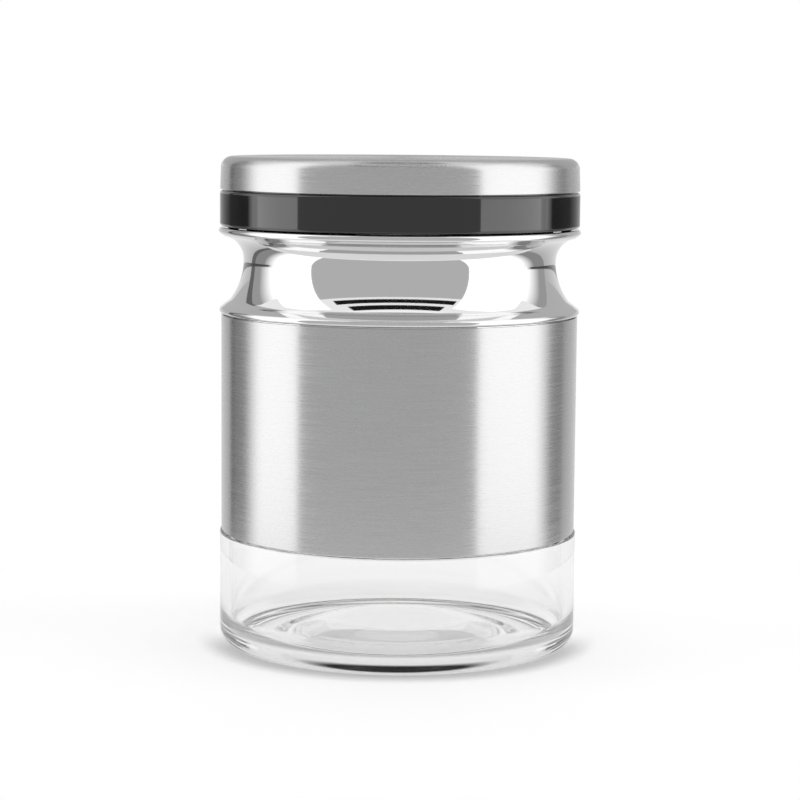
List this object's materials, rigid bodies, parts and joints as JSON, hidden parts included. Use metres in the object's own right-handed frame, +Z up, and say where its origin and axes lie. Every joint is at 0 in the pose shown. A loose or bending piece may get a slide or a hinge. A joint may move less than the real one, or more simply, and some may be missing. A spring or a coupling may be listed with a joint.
{
  "type": "glass storage jar",
  "caption": "Cylindrical clear glass storage jar with a brushed steel sleeve, a polished waisted neck collar and a sealed screw lid with a black band and a steel top.",
  "frame": {"origin": "centre of the ring that the jar stands on, at table level", "axes": "+Z up along the jar's axis; X and Y level, with -Y towards the viewer of the picture"},
  "size_m": [0.1014, 0.1014, 0.1366],
  "materials": {
    "clear_glass": "clear pressed and fire-polished soda-lime glass",
    "brushed_steel": "stainless steel, brushed round the axis",
    "polished_steel": "mirror-polished stainless steel",
    "black_plastic": "glossy injection-moulded black plastic",
    "silicone": "translucent moulded silicone",
    "adhesive": "cured elastic adhesive"
  },
  "bodies": {
    "jar": {"glass_jar": "clear_glass", "steel_sleeve": "brushed_steel", "sleeve_adhesive": "adhesive", "neck_collar": "polished_steel"},
    "seal": {"lid_seal": "silicone"},
    "lid": {"lid_cap": "brushed_steel", "cap_adhesive": "adhesive", "lid_insert": "black_plastic"}
  },
  "joints": [
    {"name": "lid_lift", "type": "slide", "parent": "jar", "child": "seal", "axis": [0, 0, 1], "range_m": [0, 0.0241]},
    {"name": "lid_turn", "type": "hinge", "parent": "seal", "child": "lid", "pos_m": [0, 0, 0.1271], "axis": [0, 0, 1], "range_deg": [0, 720]}
  ],
  "couplings": [
    {"joint": "lid_lift", "follows": "lid_turn", "m_per_rad": 0.0019099}
  ]
}
